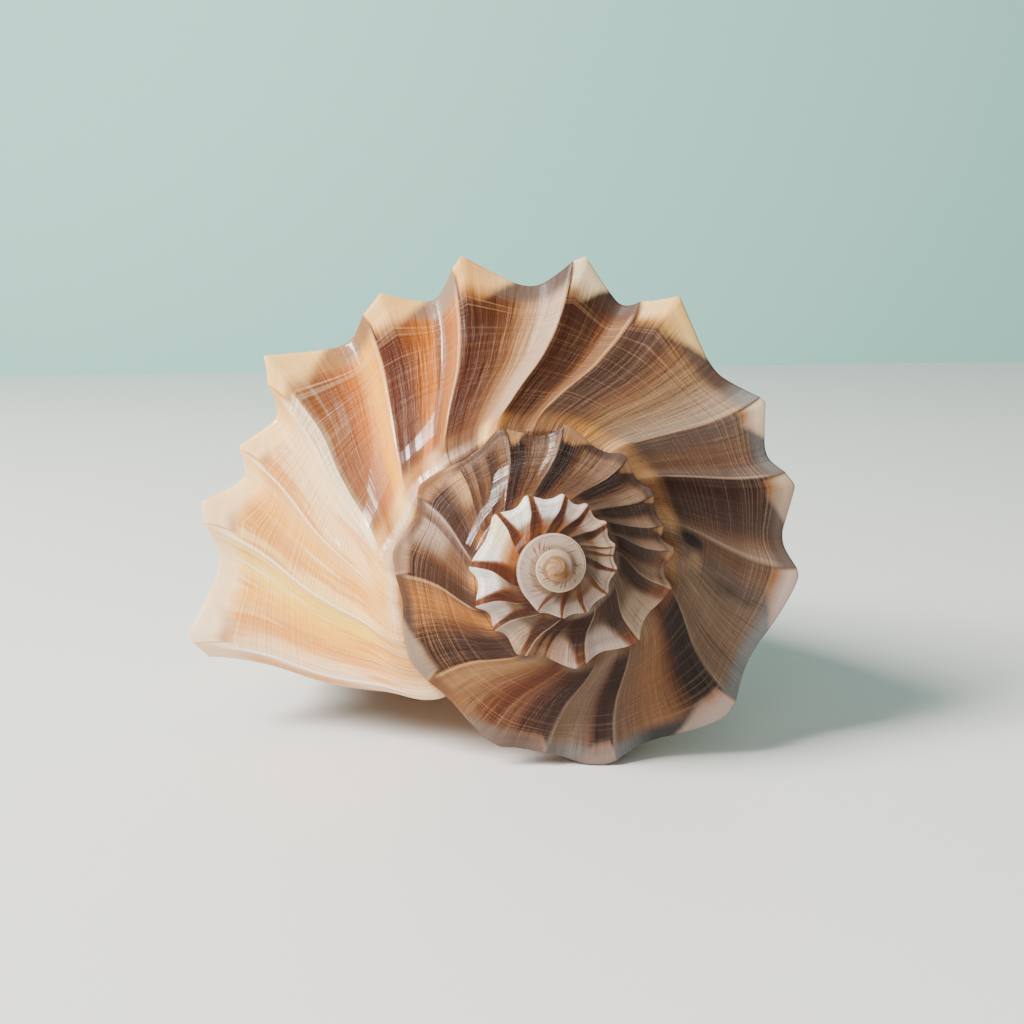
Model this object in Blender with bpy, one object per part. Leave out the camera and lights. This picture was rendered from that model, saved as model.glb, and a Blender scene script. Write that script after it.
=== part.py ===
# Lightning whelk shell, left-handed, lying on a table with its aperture down.
# Metres, +Z up. The spire faces -Y and the siphonal canal points to +Y.
# One grown piece: spire, body whorl, open cavity behind the lip, pillar and canal.

import math

import bmesh
import bpy
import numpy as np

TURN = 360.0

# Driving dimensions, in millimetres and degrees. Angles are counted back from the lip.
LIP_SHOULDER_R = 53.4      # shoulder radius at the lip, without its spine
CANAL_END = 162.0          # apex to the end of the canal, along the axis
GROWTH_AT_LIP = 0.975      # natural log of the widening per turn, at the lip
GROWTH_DROP = 0.16         # how much that figure falls with each turn back
GROWTH_LEAST = 0.64        # and its value in the early turns
SPIRE_SLOPE = 0.60         # depth of the shoulder below the apex, as a share of its radius
TURNS_BACK = 4.9           # turns from the lip back to the first bulb
BULB_HEIGHT = 0.8          # of the first bulb, above its own turn
LIP_AZIMUTH = 195.5        # where the lip's shoulder stands, seen from the apex
BODY_LENGTH = 128.0        # from the shoulder down to where only the canal is left
LIP_BULGE = 13.2           # how far the growth lines swing ahead below the shoulder, in degrees

# The cavity behind the lip
CAVITY_DEPTH = 400.0       # how far it winds in
CANAL_SHUTS = 195.0        # where its lower end leaves the canal and climbs the pillar
PILLAR_R = 4.0
CANAL_R = 10.4
WALL = 2.4
WALL_AT_LIP = 1.2
SEAM_WALL = 2.8            # thickness where a turn is fused to the one before
LEAST_GAP = 0.8

# How the shell lies on its spine tips, lip and canal
AXIS_DIP = 10.27            # the canal end is lower than the apex
AXIS_ROLL = -0.72
WORN = 0.3                 # height worn flat off the points that it lies on

# Stations along one growth line: 0 suture, 1 shoulder, 2 seam of the next turn,
# 3 underside of that seam, 4 canal end
SHOULDER, SEAM, UNDER, END = 1.0, 2.0, 3.0, 4.0

# Spines and knobs from the lip back: where the tip stands, how far it reaches beyond the shoulder,
# and where its rib crosses the ramp
SPINES = (
    (4.4, 4.2, 2.6), (25.2, 4.6, 21.8), (35.9, 2.4, 35.0), (50.9, 6.6, 47.2), (72.5, 4.0, 67.6),
    (88.5, 5.0, 86.1), (111.2, 5.2, 108.8), (130.4, 5.0, 123.4), (157.9, 2.9, 156.2),
    (177.3, 2.6, 173.6), (198.4, 2.7, 196.2), (237.2, 3.1, 232.6), (273.7, 2.5, 268.3),
    (303.4, 2.0, 288.3), (342.6, 1.8, 333.3), (380.2, 2.0, 372.2), (405.9, 2.2, 401.8),
    (442.0, 2.1, 445.0), (470.1, 2.1, 468.3), (496.5, 1.7, 499.0), (516.0, 1.3, 519.3),
    (534.0, 0.8, 534.6), (546.5, 1.7, 547.9), (565.5, 1.8, 566.2), (598.5, 1.8, 596.8),
    (634.5, 1.8, 627.8), (669.5, 1.5, 664.6), (690.0, 0.9, 689.2), (708.5, 1.4, 709.0),
    (734.0, 1.5, 735.2), (774.0, 1.4, 776.0), (801.0, 1.3, 803.0), (829.5, 1.2, 831.4),
    (850.0, 1.1, 852.2), (872.5, 1.0, 873.8), (894.0, 0.7, 895.0), (916.0, 0.7, 917.3),
    (941.0, 0.6, 942.0), (970.0, 0.6, 971.0), (997.0, 0.5, 998.0), (1026.0, 0.4, 1027.0),
)
PLAIN_SPACING = 25.0       # past the oldest knob
# How the growth lines sway ahead near the suture: degrees back, and degrees of sway
SWAYS = (
    (0.0, -3.0), (45.0, -3.0), (88.0, 5.0), (125.0, 5.0), (160.0, 1.0), (190.0, 1.0), (232.0, 5.0),
    (375.0, 6.0), (405.0, 2.0), (520.0, 0.5), (570.0, 5.0), (630.0, 6.0), (665.0, 3.0), (735.0, 4.0),
    (775.0, 0.0),
)

# How finely the skin is divided
COLUMN_STEPS = ((0.0, 5.0), (400.0, 7.0), (1020.0, 20.0))
LEAST_STEP = 1.5
CAVITY_STEP = 10.0
RAMP_ROWS = (0.0, 0.08, 0.25, 0.5, 0.74, 0.9, 1.0)
SIDE_ROWS = (1.45, 2.0)
BODY_ROWS = (3.0, 3.06, 3.14, 3.22, 3.31, 3.4, 3.5, 3.6, 3.7, 3.81, 3.91, 4.0)
LINING_ROWS = (0.0, 0.1, 0.3, 0.6, 0.85, 1.0, 1.6, 2.5)


def smooth(x):
    """0 below 0, 1 above 1, and a smooth step between."""
    x = np.clip(x, 0.0, 1.0)
    return x * x * (3.0 - 2.0 * x)


def mix(a, b, share):
    return a + (b - a) * share


def shoulder_radius(back):
    """Radius of the shoulder, without spines, at an angle back from the lip."""
    turns = back / TURN
    knee = (GROWTH_AT_LIP - GROWTH_LEAST) / GROWTH_DROP
    near = np.minimum(turns, knee)
    fallen = GROWTH_AT_LIP * near - 0.5 * GROWTH_DROP * near * near
    return LIP_SHOULDER_R * np.exp(-fallen - GROWTH_LEAST * np.maximum(0.0, turns - knee))


def lean(back, station):
    """How far a growth line runs ahead of its shoulder point, in degrees."""
    if station < SHOULDER:
        at_suture = mix(40.0, 25.0, smooth((back - 45.0) / 40.0))
        sway = np.interp(back, *zip(*SWAYS)) * float(smooth((0.6 - station) / 0.45))
        return at_suture * (1.0 - station) ** 1.5 + sway
    if station > UNDER:
        return LIP_BULGE * math.sin(math.pi * min(1.0, 1.25 * (station - UNDER))) ** 2 + 0.0 * back
    return 0.0 * back


def core_radius(around, depth):
    """Outer radius of the canal, which coils in to become the pillar."""
    return mix(CANAL_R, PILLAR_R, smooth(around / 330.0)) * mix(1.0, 0.8, smooth((depth - 95.0) / 67.0))


def body_radius(around, depth):
    """Radius of the side wall at a depth below the apex, from the shoulder to the canal end."""
    r = shoulder_radius(around)
    below = depth - SPIRE_SLOPE * r
    x = np.clip(below / (BODY_LENGTH * (r / LIP_SHOULDER_R) ** 0.6), 0.0, 1.0)
    core = np.minimum(core_radius(around, depth), 0.6 * r)
    waist = 0.05 * r * smooth(below / (0.1 * r)) * np.maximum(0.0, 1.0 - 1.6 * x)
    return core + (r - core) * (1.0 - x * x) ** 3.3 - waist


def canal_end(around):
    return CANAL_END - 8.0 * smooth(around / 320.0) - 6.0 * (1.0 - smooth(around / 70.0))


def side_depth(around, station, bottom):
    r = shoulder_radius(around)
    top = SPIRE_SLOPE * r
    seam = top + 0.12 * r
    under = seam + SEAM_WALL * np.clip(r / 15.0, 0.3, 1.0)
    if station <= SEAM:
        return mix(top, seam, station - SHOULDER)
    if station <= UNDER:
        return mix(seam, under, station - SEAM)
    return mix(under, bottom, station - UNDER)


def base_point(around, station, bottom):
    """Radius and depth of the shell's outside before ribs and spines."""
    if station >= SHOULDER:
        depth = side_depth(around, station, bottom)
        return body_radius(around, depth), depth
    z0 = side_depth(around + TURN, SEAM, bottom)
    r0 = body_radius(around + TURN, z0)
    z1 = side_depth(around, SHOULDER, bottom)
    r1 = body_radius(around, z1)
    run = np.hypot(r1 - r0, z1 - z0)
    hollow = -0.045 * run * math.sin(math.pi * station) ** 1.3
    swell = mix(0.055, 0.03, smooth((around - 90.0) / 60.0))
    roll = swell * run * float(smooth(station / 0.06) * (1.0 - smooth((station - 0.09) / 0.22)))
    lift = hollow + roll
    return mix(r0, r1, station) + lift * (z1 - z0) / run, mix(z0, z1, station) - lift * (r1 - r0) / run


def knob_sums(back, growth_side=0.4):
    """Outward points, and ribs steep on the side of growth, as two sums over the spines."""
    points = 0.0 * back
    ribs = 0.0 * back
    for i, (at, length, crest) in enumerate(SPINES):
        to_next = SPINES[i + 1][0] - at if i + 1 < len(SPINES) else PLAIN_SPACING
        to_last = at - SPINES[i - 1][0] if i else 18.0
        worn = float(smooth((at - 140.0) / 80.0))
        away = back - at
        q = np.where(away > 0.0, away / to_next / mix(0.62, 0.75, worn), -away / to_last / mix(0.62, 0.5, worn))
        q = np.sqrt(q * q + (0.08 * worn) ** 2) - 0.08 * worn
        points = points + length * np.maximum(0.0, 1.0 - q) ** mix(1.7, 1.35, worn)
        to_next = SPINES[i + 1][2] - crest if i + 1 < len(SPINES) else PLAIN_SPACING
        to_last = crest - SPINES[i - 1][2] if i else 18.0
        away = back - crest
        q = np.where(away > 0.0, away / to_next / 0.8, -away / to_last / growth_side)
        height = 0.35 * length + 0.5 * float(shoulder_radius(crest)) / LIP_SHOULDER_R
        ribs = ribs + height * np.maximum(0.0, 1.0 - q) ** 1.6
    return points, ribs


def side_share(back, station):
    """How much of a spine's length is left on the side wall below it."""
    return max(0.0, 1.0 - (station - SHOULDER) / 1.8) ** mix(1.5, 0.8, smooth((back - 300.0) / 80.0))


def outside(back, station, bottom=None):
    """Radius and depth of the outer surface, with the angle of each point back from the lip."""
    around = back - lean(back, station)
    if bottom is None:
        bottom = canal_end(around)
    radius, depth = base_point(around, station, bottom)
    points, ribs = knob_sums(back)
    if station <= SHOULDER:
        points = points * float(smooth((station - 0.66) / 0.34)) ** 1.5
        ribs = ribs * mix(0.35, 1.0, station) * float(smooth(station / 0.12))
        under, _ = knob_sums(around + TURN)
        radius = radius + side_share(around + TURN, SEAM) * under * (1.0 - min(1.0, station / 0.5)) ** 2
    else:
        points = points * side_share(back, station)
        ribs = ribs * max(0.0, 1.0 - (station - SHOULDER) / 0.7)
    return around, radius + points + 0.375 * ribs, depth - 0.15 * points - ribs


def seam_back(back):
    """The angle on the turn before, where this growth line's suture meets it."""
    return back + TURN - lean(back, 0.0)


def cavity_bottom(back):
    """Depth of the cavity's lower end: at the canal end near the lip, then up the pillar."""
    r = shoulder_radius(back)
    climbed = SPIRE_SLOPE * r + 0.9 * BODY_LENGTH * (r / LIP_SHOULDER_R) ** 0.6
    return mix(canal_end(back), climbed, smooth((back - CANAL_SHUTS) / 110.0))


def lining(back, station):
    """The cavity's outer wall: the outside without its spines, moved in by the wall's thickness."""
    around = back - lean(back, station)
    bottom = cavity_bottom(back)
    wall = mix(WALL_AT_LIP, WALL, smooth(back / 30.0))
    r_a, z_a = base_point(around, max(0.0, station - 0.04), bottom)
    r_b, z_b = base_point(around, min(END, station + 0.04), bottom)
    r, z = base_point(around, station, bottom)
    run = np.hypot(r_b - r_a, z_b - z_a)
    radius = r - wall * (z_b - z_a) / run
    depth = z + wall * (r_b - r_a) / run
    if station > UNDER:
        depth = np.minimum(depth, bottom)
        depth = mix(depth, z, float(smooth((station - 3.6) / 0.4)))
    else:
        z_under = side_depth(around + TURN, UNDER, bottom)
        share = float(smooth(station / 0.12))
        radius = mix(body_radius(around + TURN, z_under), radius, share)
        depth = mix(z_under, depth, share)
    if station > 0.0:
        radius = np.maximum(radius, body_radius(around + TURN, depth) + LEAST_GAP)
    return around, radius, depth


def pillar_wall(back, station):
    """The cavity's inner wall: the outside of the turn before, facing growth line `back`."""
    share = (station - UNDER) / (END - UNDER)
    around = back + TURN - lean(back, 0.0) * (1.0 - share) ** 2
    bottom = np.where(back < CANAL_SHUTS, canal_end(around), cavity_bottom(back))
    depth = side_depth(around, station, bottom)
    return around, body_radius(around, depth), depth


class Skin:
    """Points and faces of one closed surface, built row by row."""

    def __init__(self):
        self.points = []
        self.faces = []

    def row(self, keys, placed):
        """Adds a row of points given as (angle back, radius, depth). Returns (key, index) pairs."""
        around, radius, depth = placed
        azimuth = np.radians(LIP_AZIMUTH - around)
        first = len(self.points)
        xyz = np.stack([radius * np.cos(azimuth), radius * np.sin(azimuth), -depth], axis=1)
        self.points.extend(map(tuple, xyz))
        return [(float(key), first + i) for i, key in enumerate(keys)]

    def zip(self, one, other):
        """Faces between two rows whose points need not pair up."""
        i = j = 0
        while i < len(one) - 1 or j < len(other) - 1:
            to_i = one[i + 1][0] if i < len(one) - 1 else math.inf
            to_j = other[j + 1][0] if j < len(other) - 1 else math.inf
            face = [one[i][1]]
            if to_i <= to_j + 1e-6:
                i += 1
                face.append(one[i][1])
            if to_j <= to_i + 1e-6:
                face += [other[j + 1][1], other[j][1]]
                j += 1
            else:
                face.append(other[j][1])
            face = [v for n, v in enumerate(face) if v != face[n - 1]]
            if len(face) > 2:
                self.faces.append(face)

    def fan(self, loop, centre):
        self.points.append(centre)
        hub = len(self.points) - 1
        for a, b in zip(loop, loop[1:] + loop[:1]):
            self.faces.append([a, b, hub])


def growth_columns():
    """Angles of the outside's growth lines, one of them on each tip and on each rib."""
    stops = [0.0]
    for at, _, crest in SPINES:
        for stop in sorted((at, crest)):
            if stop - stops[-1] > LEAST_STEP:
                stops.append(stop)
    stops.append(TURNS_BACK * TURN)
    columns = [0.0]
    for start, end in zip(stops, stops[1:]):
        step = [s for begin, s in COLUMN_STEPS if start >= begin][-1]
        count = max(1, round((end - start) / step))
        columns.extend(start + (end - start) * n / count for n in range(1, count + 1))
    return np.array(columns)


def build_skin():
    """The whole shell as one closed skin, apex at the origin and canal along -Z."""
    skin = Skin()
    columns = growth_columns()
    last = columns[-1]
    count = round(CAVITY_DEPTH / CAVITY_STEP)
    inner = CAVITY_DEPTH * np.arange(count + 1) / count
    mouth = float(seam_back(np.array(0.0)))

    suture = skin.row(columns, outside(seam_back(columns), SEAM))
    seam_keys = [(float(back), index) for back, (_, index) in zip(seam_back(columns), suture)]
    own = columns[columns < mouth - 1.5]

    rows = [suture]
    for station in RAMP_ROWS[1:] + SIDE_ROWS[:-1]:
        rows.append(skin.row(columns, outside(columns, station)))
    seam = skin.row(own, outside(own, SEAM)) + [pair for pair in seam_keys if pair[0] <= last + 1e-6]
    rows.append(seam)
    for upper, lower in zip(rows, rows[1:]):
        skin.zip(upper, lower)

    rim = [index for back, index in seam_keys if back > last + 1e-6]
    tip_column = [row[-1][1] for row in rows[1:-1]]
    loop = [seam[-1][1]] + rim + tip_column
    top = np.array([skin.points[i] for i in loop])
    centre = top.mean(axis=0)
    skin.fan(loop, (centre[0], centre[1], top[:, 2].max() + BULB_HEIGHT))

    walls = []
    for station in BODY_ROWS:
        placed = pillar_wall(inner, station)
        around = columns - lean(columns, station)
        keep = columns[around < placed[0][0] - 1.5]
        out = skin.row(keep, outside(keep, station))
        walls.append((out, skin.row(inner + 1000.0, placed)))
    skin.zip(seam[: len(own)] + [(1000.0, suture[0][1])], walls[0][0] + walls[0][1][:1])
    for upper, lower in zip(walls, walls[1:]):
        skin.zip(upper[0] + upper[1], lower[0] + lower[1])

    ceiling = [(key - 1000.0, index) for key, index in walls[0][1]]
    floor = [(key - 1000.0, index) for key, index in walls[-1][1]]
    lined = [ceiling]
    for station in LINING_ROWS[1:] + BODY_ROWS[:-1]:
        lined.append(skin.row(inner, lining(inner, station)))
    open_end = inner[inner < CANAL_SHUTS]
    canal = skin.row(open_end, lining(open_end, END))
    shut = len(open_end)
    lined.append(canal + floor[shut:])
    for upper, lower in zip(lined, lined[1:]):
        skin.zip(upper, lower)

    lip_out = [(0.0, suture[0][1])]
    stations = RAMP_ROWS[1:] + SIDE_ROWS + BODY_ROWS
    for station, row in zip(stations, rows[1:] + [pair[0] for pair in walls]):
        lip_out.append((station, row[0][1]))
    lip_in = [(station, row[0][1]) for station, row in zip(LINING_ROWS + BODY_ROWS, lined)]
    skin.zip(lip_out, lip_in)

    deep_out = [(station, row[-1][1]) for station, row in zip(LINING_ROWS + BODY_ROWS, lined)]
    deep_in = [(station, pair[1][-1][1]) for station, pair in zip(BODY_ROWS, walls)]
    skin.zip([(0.0, deep_in[0][1])] + deep_in[1:], deep_out)

    end_out = walls[-1][0]
    ring = [pair for pair in end_out if pair[0] <= floor[shut][0]]
    skin.zip(ring, canal + [floor[shut]])
    core = [index for _, index in end_out[len(ring) - 1:] + floor[: shut + 1]]
    core_z = np.mean([skin.points[i][2] for i in core])
    skin.fan(core, (0.0, 0.0, core_z - 0.6))
    return skin


def make_shell():
    skin = build_skin()
    mesh = bpy.data.meshes.new("whelk_shell")
    mesh.from_pydata(skin.points, [], skin.faces)
    shell = bpy.data.objects.new("whelk_shell", mesh)
    bpy.context.scene.collection.objects.link(shell)

    bm = bmesh.new()
    bm.from_mesh(mesh)
    dip = math.radians(90.0 - AXIS_DIP)
    roll = math.radians(AXIS_ROLL)
    for vert in bm.verts:
        x, y, z = vert.co
        x, y = x * math.cos(roll) - y * math.sin(roll), x * math.sin(roll) + y * math.cos(roll)
        vert.co = (x, y * math.cos(dip) - z * math.sin(dip), y * math.sin(dip) + z * math.cos(dip))
    points = np.array([vert.co for vert in bm.verts])
    low, high = points.min(axis=0), points.max(axis=0)
    middle = ((low[0] + high[0]) / 2.0, (low[1] + high[1]) / 2.0, low[2] + WORN)
    for vert in bm.verts:
        vert.co = tuple((vert.co[i] - middle[i]) * 0.001 for i in range(3))
    bmesh.ops.recalc_face_normals(bm, faces=bm.faces)
    bmesh.ops.triangulate(bm, faces=bm.faces)
    geometry = list(bm.verts) + list(bm.edges) + list(bm.faces)
    bmesh.ops.bisect_plane(bm, geom=geometry, dist=1e-7, plane_no=(0.0, 0.0, 1.0), clear_inner=True)
    open_edges = [edge for edge in bm.edges if edge.is_boundary]
    bmesh.ops.holes_fill(bm, edges=open_edges, sides=0)
    bmesh.ops.recalc_face_normals(bm, faces=bm.faces)
    bmesh.ops.triangulate(bm, faces=bm.faces)
    bm.to_mesh(mesh)
    bm.free()
    return shell


def main():
    for old in list(bpy.data.objects):
        bpy.data.objects.remove(old)
    make_shell()


main()
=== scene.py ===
"""The looks of the lightning whelk shell: one fine skin in place of the plain solid, its colours and gloss,
a pale floor, soft light and the camera."""

import math

import bpy
import numpy as np
from mathutils import Matrix, Vector


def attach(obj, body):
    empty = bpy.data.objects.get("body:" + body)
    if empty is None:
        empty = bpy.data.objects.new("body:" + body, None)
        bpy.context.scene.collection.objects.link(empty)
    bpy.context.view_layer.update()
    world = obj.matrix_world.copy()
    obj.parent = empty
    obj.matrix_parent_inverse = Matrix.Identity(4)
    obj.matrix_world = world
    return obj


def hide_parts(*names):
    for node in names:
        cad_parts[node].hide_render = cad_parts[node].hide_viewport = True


MM = 0.001
TURN = 360.0

# The shell's own measures, as in the plain solid: millimetres, and degrees back from the lip
LIP_SHOULDER_R = 53.4
CANAL_END = 162.0
GROWTH_AT_LIP = 0.975
GROWTH_DROP = 0.16
GROWTH_LEAST = 0.64
SPIRE_SLOPE = 0.60
TURNS_BACK = 4.9
BULB_HEIGHT = 0.8
LIP_AZIMUTH = 195.5
RIB_FRONT = 0.3
BODY_LENGTH = 128.0
BODY_TAPER = 3.3
BODY_SHRINK = 0.6
SEAM_DROP = 0.12
LEAN_AT_LIP = 40.0
LEAN_BEHIND = 25.0
LIP_BULGE = 13.2
CANAL_LOSS = 8.0
CANAL_NOTCH = 6.0
CAVITY_DEPTH = 400.0
CANAL_SHUTS = 195.0
PILLAR_R = 4.0
CANAL_R = 10.4
WALL = 2.4
WALL_AT_LIP = 1.2
SEAM_WALL = 2.8
LEAST_GAP = 0.8
CORE_TIP = 0.6
AXIS_DIP = 10.27
AXIS_ROLL = -0.72
REST = (-10.809, 79.691, -30.748)
# Spines and knobs: degrees back of the tip, its length, and degrees back of its rib's crest
SPINES = (
    (4.4, 4.2, 2.6), (25.2, 4.6, 21.8), (35.9, 2.4, 35.0), (50.9, 6.6, 47.2), (72.5, 4.0, 67.6),
    (88.5, 5.0, 86.1), (111.2, 5.2, 108.8), (130.4, 5.0, 123.4), (157.9, 2.9, 156.2),
    (177.3, 2.6, 173.6), (198.4, 2.7, 196.2), (237.2, 3.1, 232.6), (273.7, 2.5, 268.3),
    (303.4, 2.0, 288.3), (342.6, 1.8, 333.3), (380.2, 2.0, 372.2), (405.9, 2.2, 401.8),
    (442.0, 2.1, 445.0), (470.1, 2.1, 468.3), (496.5, 1.7, 499.0), (516.0, 1.3, 519.3),
    (534.0, 0.8, 534.6), (546.5, 1.7, 547.9), (565.5, 1.8, 566.2), (598.5, 1.8, 596.8),
    (634.5, 1.8, 627.8), (669.5, 1.5, 664.6), (690.0, 0.9, 689.2), (708.5, 1.4, 709.0),
    (734.0, 1.5, 735.2), (774.0, 1.4, 776.0), (801.0, 1.3, 803.0), (829.5, 1.2, 831.4),
    (850.0, 1.1, 852.2), (872.5, 1.0, 873.8), (894.0, 0.7, 895.0), (916.0, 0.7, 917.3),
    (941.0, 0.6, 942.0), (970.0, 0.6, 971.0), (997.0, 0.5, 998.0), (1026.0, 0.4, 1027.0),
)
# Degrees to the next spine before the first one and behind the last
FIRST_SPACING = 18.0
PLAIN_SPACING = 25.0
# How the growth lines sway ahead near the suture: degrees back, and degrees of sway
SWAYS = (
    (0.0, -3.0), (45.0, -3.0), (88.0, 5.0), (125.0, 5.0), (160.0, 1.0), (190.0, 1.0), (232.0, 5.0),
    (375.0, 6.0), (405.0, 2.0), (520.0, 0.5), (570.0, 5.0), (630.0, 6.0), (665.0, 3.0), (735.0, 4.0),
    (775.0, 0.0),
)

# Dark streaks: where each starts, how wide it is and how dark, in degrees back from the lip
STREAKS = (
    (50.0, 9.0, 0.5), (67.8, 7.5, 0.85), (79.5, 6.0, 0.35), (86.3, 13.0, 0.75), (109.0, 11.0, 0.95),
    (123.6, 15.0, 0.75), (156.4, 10.0, 0.65), (166.0, 5.0, 0.35), (173.8, 20.0, 1.0), (197.0, 8.0, 0.45),
    (232.8, 13.0, 1.0), (268.5, 8.5, 1.0), (288.5, 17.0, 1.0), (307.0, 9.0, 0.6), (333.5, 20.0, 0.95),
    (372.4, 11.5, 1.0), (396.0, 5.0, 0.5), (402.0, 11.0, 1.0), (420.5, 4.5, 0.6), (425.5, 5.0, 0.55),
    (433.0, 7.5, 0.75), (445.2, 9.5, 1.0), (468.5, 11.0, 1.0), (499.2, 10.0, 1.0), (519.5, 9.0, 1.0),
    (534.8, 8.0, 1.0), (548.1, 10.5, 1.0), (566.4, 11.0, 1.0), (597.0, 14.0, 1.0), (628.0, 15.0, 1.0),
    (652.0, 4.5, 0.6), (658.5, 4.0, 0.6), (664.8, 8.5, 1.0), (689.4, 7.0, 1.0), (709.2, 10.0, 1.0),
    (735.4, 11.0, 1.0), (776.2, 9.0, 0.95), (803.2, 11.0, 1.0), (831.6, 9.5, 0.9), (852.4, 8.5, 0.95),
    (874.0, 10.0, 1.0), (895.2, 3.5, 0.8), (903.0, 4.5, 0.8), (917.5, 7.5, 0.95), (942.2, 7.0, 0.95),
    (971.2, 7.5, 0.95), (998.2, 7.5, 0.9), (1027.2, 6.5, 0.8),
)
# The old break: middle in degrees back and station, half widths, and strength, negative where it is pale
BREAK_MARKS = (
    ((201.6, 0.30), (5.0, 0.14), 0.85),
    ((208.0, 0.76), (5.0, 0.18), 0.42),
    ((210.0, 0.58), (4.5, 0.14), 0.38),
    ((209.5, 0.34), (8.5, 0.09), -0.62),
    ((214.5, 0.25), (8.0, 0.07), -0.5),
    ((219.2, 0.37), (1.2, 0.15), -0.6),
)
# Stations along one growth line
SHOULDER, SEAM, UNDER, END = 1.0, 2.0, 3.0, 4.0

# How finely the skin is divided
LEAST_STEP = 0.4
COLUMN_STEPS = ((0.0, 0.8), (330.0, 1.0), (720.0, 1.5), (1080.0, 4.0))
RAMP_COUNT = 40
SIDE_COUNT = 7
BODY_COUNT = 40
CAVITY_STEP = 4.0
LINING_ROWS = (0.0, 0.05, 0.1, 0.16, 0.24, 0.34, 0.44, 0.54, 0.64, 0.74, 0.84, 0.93, 1.0, 1.3, 1.65, 2.0, 2.5)

# Parts of the skin, as its colours know them
OUTSIDE, PILLAR, LINING = 0.0, 1.0, 2.0
# Added to the pillar's angles in a row that runs on from the outside to the pillar
PILLAR_KEYS = 1000.0

# The colours that the shell is painted with, as the eye reads them, 0 to 255
CHALK = (252, 242, 232)
PEARL = (222, 214, 212)
CREAM = (246, 220, 178)
BISCUIT = (230, 200, 164)
STRAW = (244, 194, 114)
PEACH = (230, 176, 126)
YOLK = (248, 202, 62)
HONEY = (230, 168, 92)
DOVE = (182, 158, 146)
TAN = (202, 150, 100)
AMBER = (238, 160, 36)
PUTTY = (168, 142, 118)
OCHRE = (188, 128, 60)
CARAMEL = (160, 116, 74)
TAUPE = (132, 112, 94)
SLATE = (110, 110, 108)
GINGER = (164, 100, 38)
HAZEL = (130, 98, 68)
COPPER = (180, 98, 4)
DRIFTWOOD = (112, 88, 68)
WALNUT = (124, 82, 48)
RUST = (150, 74, 8)
SMOKE = (90, 72, 62)
BARK = (104, 68, 40)
CHESTNUT = (86, 52, 28)
PEAT = (62, 44, 36)
INK = (42, 42, 44)
MAHOGANY = (78, 30, 4)
UMBER = (58, 28, 10)
COFFEE = (44, 18, 6)
TAR = (28, 8, 2)

# How those colours follow one another along the growth: degrees back from the lip, and the colour
GROUND_LIP = (
    (0, BISCUIT), (12, AMBER), (18, YOLK), (23, STRAW), (29, AMBER), (50.4, CREAM), (51.5, GINGER),
    (57, RUST), (61, COPPER), (65, AMBER), (74, RUST), (79, COPPER), (87, GINGER), (95, BARK),
    (101, CARAMEL), (107.5, PUTTY), (117, BARK), (143, HAZEL),
)
# Painted shade: from about 150 to 350 degrees back, on the side away from the light, these colours are darker
# than the shell's own
GROUND_AND_SHADE_LAST = (
    (143, HAZEL), (155, TAUPE), (164, DRIFTWOOD), (172, SMOKE), (186, SMOKE), (194, TAUPE),
    (205, SMOKE), (217, DRIFTWOOD), (229, DRIFTWOOD), (243, CHESTNUT), (251, WALNUT), (276, SMOKE),
    (283, DRIFTWOOD), (314, CHESTNUT), (321, WALNUT), (328, CARAMEL), (333, WALNUT), (352, CHESTNUT),
    (365, GINGER), (372, WALNUT),
)
# Painted shade: from about 800 to 1000 degrees back, on the side of the spire away from the light, both spire
# lists are darker than the shell's own colours
SPIRE_LOW_AND_SHADE = (
    (372, CHESTNUT), (388, BARK), (466, CHESTNUT), (545, SMOKE), (585, DRIFTWOOD), (676, PEAT),
    (684, DRIFTWOOD), (700, BARK), (706, HAZEL), (724, HAZEL), (730, PUTTY), (760, TAN), (790, HAZEL),
    (820, TAUPE), (848, DRIFTWOOD), (888, DRIFTWOOD), (936, TAUPE), (970, WALNUT), (1020, TAUPE),
)
# Darker from about 800 to 1000 degrees back with painted shade, as the list above
SPIRE_HIGH_AND_SHADE = (
    (372, BARK), (384, BARK), (392, PUTTY), (413, HAZEL), (419, TAN), (427, BARK), (545, DRIFTWOOD),
    (563, DRIFTWOOD), (588, PUTTY), (620, DOVE), (660, WALNUT), (682, PUTTY), (700, DOVE), (722, CHALK),
    (750, CHALK), (770, CREAM), (790, CHALK), (820, PEARL), (848, DOVE), (888, PUTTY), (1020, DOVE),
)
FIRST_TURNS = (
    (1020, DOVE), (1520, BISCUIT), (1625, DOVE), (1675, GINGER), (1722, TAN), (1764, PEACH),
)
SUTURE_LIP = (
    (0, CREAM), (8, TAN), (13, OCHRE), (21, HONEY), (30, HONEY), (36, AMBER), (41, STRAW), (50, HONEY),
    (57, GINGER), (65, STRAW), (69, OCHRE), (74, GINGER), (80, PEACH), (86, WALNUT), (92, BARK),
    (99, BARK), (104, STRAW), (107, OCHRE), (113, BARK), (134, WALNUT), (142, OCHRE), (149, CARAMEL),
    (155, TAN), (158, CARAMEL), (173, CARAMEL), (177, WALNUT), (186, WALNUT), (195, TAN),
)
SUTURE_LAST = (
    (195, TAN), (201, HAZEL), (207, BARK), (221, CARAMEL), (229, BARK), (244, MAHOGANY), (256, HAZEL),
    (270, CHESTNUT), (278, DRIFTWOOD), (290, CHESTNUT), (298, DRIFTWOOD), (311, MAHOGANY), (323, HAZEL),
    (329, SMOKE), (338, UMBER), (347, UMBER), (353, CHESTNUT), (359, GINGER), (362, GINGER),
    (371, UMBER),
)
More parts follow.
